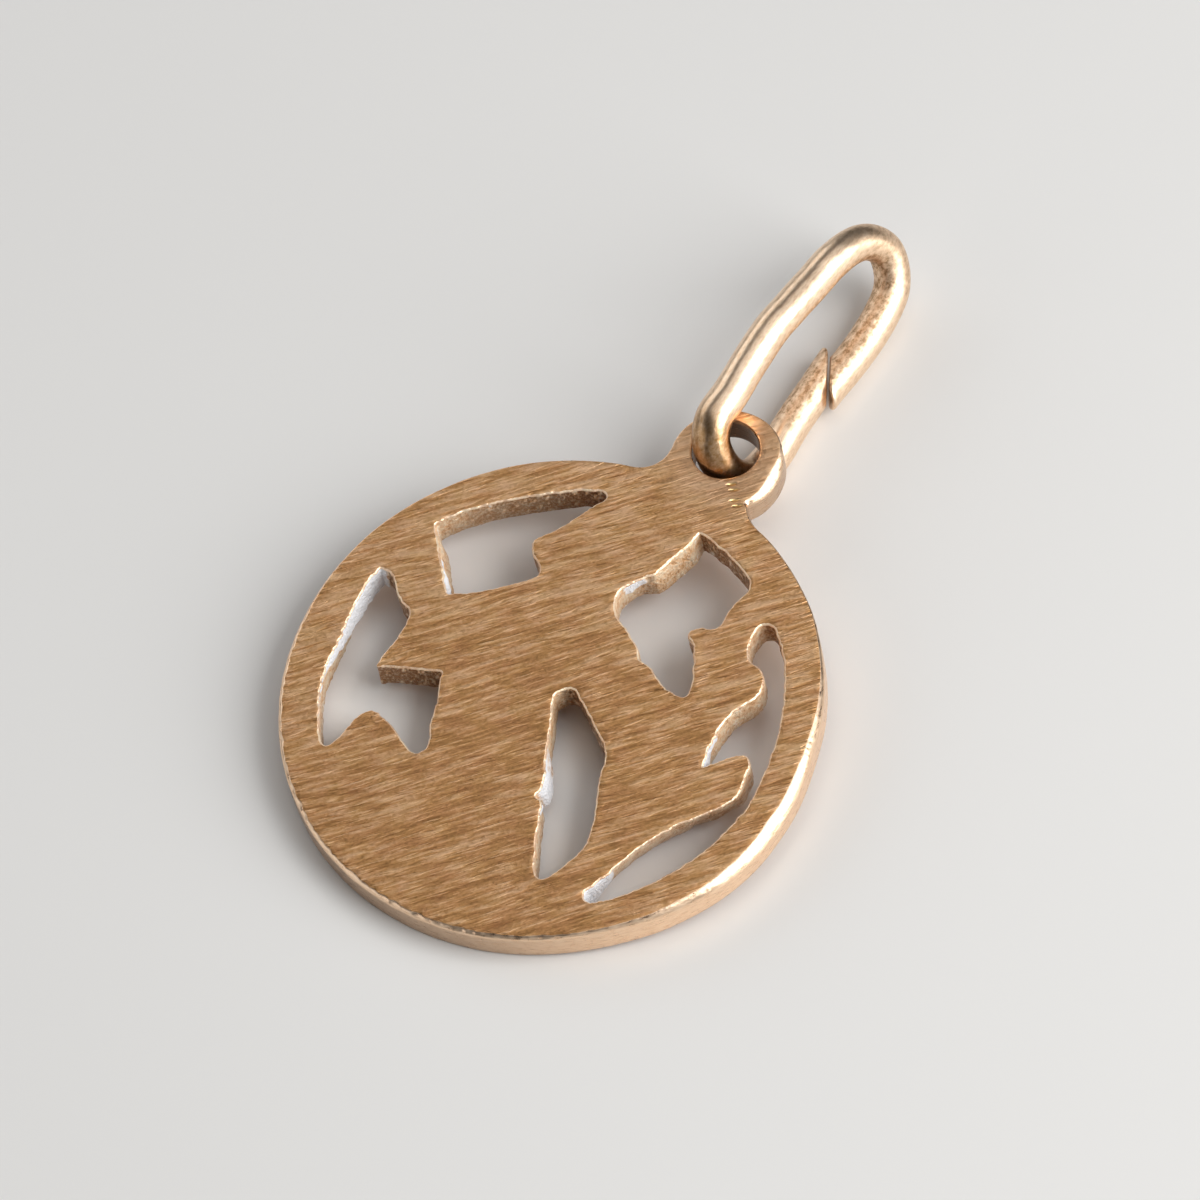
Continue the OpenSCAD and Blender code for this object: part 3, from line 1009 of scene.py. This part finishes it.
def polished_wire():
    """Polished wire: mottled where bending and wear have marked it, and painted with amber shade on its near
    bend, down in the eye's hole.
    """
    shader = Shader("polished_wire")
    place = shader.place()
    shade = shader.shade()
    worn = shader.range(shade, 0.0, 1.0)
    # Painted amber shade on the near bend
    bend_shade = shader.range(shade, -1.0, 0.0, 1.0, 0.0)
    mottle = shader.noise(shader.stretched(place, MOTTLE), MOTTLE_DETAIL, MOTTLE_ROUGH)
    scratches = shader.noise(shader.stretched(place, WIRE_SCRATCH), WIRE_SCRATCH_DETAIL)
    clean = shader.ramp(scratches, WIRE_CLEAN_AT, WIRE_TONES[1:])
    marked = shader.ramp(mottle, MOTTLE_AT, WIRE_TONES)
    amber_shade = shader.product(bend_shade, shader.range(mottle, *AMBER_SPOTS))
    rough_share = shader.weighted((worn, WORN_BUMP_SHARE), (bend_shade, BEND_SHADE_BUMP_SHARE))
    marks = shader.weighted((scratches, WIRE_SCRATCH_WEIGHT), (shader.product(mottle, rough_share), 1.0))
    return shader.finish({
        "Base Color": shader.mix(amber_shade, shader.mix(worn, clean, marked), WIRE_AMBER_SHADE),
        "Metallic": 1.0,
        "Roughness": shader.range(worn, *WIRE_ROUGHNESS),
        "Normal": shader.bump(marks, WIRE_BUMP),
    })


def pale_floor():
    """The plain floor."""
    shader = Shader("pale_floor")
    return shader.finish({"Base Color": FLOOR_COLOUR, "Roughness": FLOOR_ROUGHNESS})


# Floor and light

def make_floor():
    """A wide square at height 0."""
    mesh = bpy.data.meshes.new("floor")
    half = FLOOR_W / 2 * MM
    corners = [(-half, -half, 0), (half, -half, 0), (half, half, 0), (-half, half, 0)]
    mesh.from_pydata(corners, [], [(0, 1, 2, 3)])
    mesh.materials.append(pale_floor())
    show(mesh, "floor")


def area_light(name, way, distance, width, height, power):
    """A soft lamp that faces the origin."""
    lamp = bpy.data.lights.new(name, "AREA")
    lamp.shape = "RECTANGLE"
    lamp.size = width * MM
    lamp.size_y = height * MM
    lamp.energy = power
    place = Vector(way).normalized() * distance * MM
    light = show(lamp, name)
    light.location = place
    light.rotation_euler = place.to_track_quat("Z", "Y").to_euler()


def make_light():
    """All lamps, and a faint light from all round."""
    for name, lamp in LAMPS.items():
        area_light(name, *lamp)
    bpy.context.scene.view_settings.view_transform = "Standard"
    world = bpy.data.worlds.new("studio")
    world.use_nodes = True
    world.node_tree.nodes["Background"].inputs["Color"].default_value = (*WORLD_LIGHT, 1)
    bpy.context.scene.world = world


make_camera()
make_floor()
make_light()

disc_node = frame["nodes"]["pendant_disc"]
plane = disc_plane(disc_node)
disc = make_disc(disc_node, plane, [brushed_gold(plane), sawn_gold(plane), burr_highlight_gold(), filed_gold()])
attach(disc, "disc")
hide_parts("pendant_disc")

ring = make_ring(frame["joints"][0], [polished_wire()])
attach(ring, "ring")
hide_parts("jump_ring")
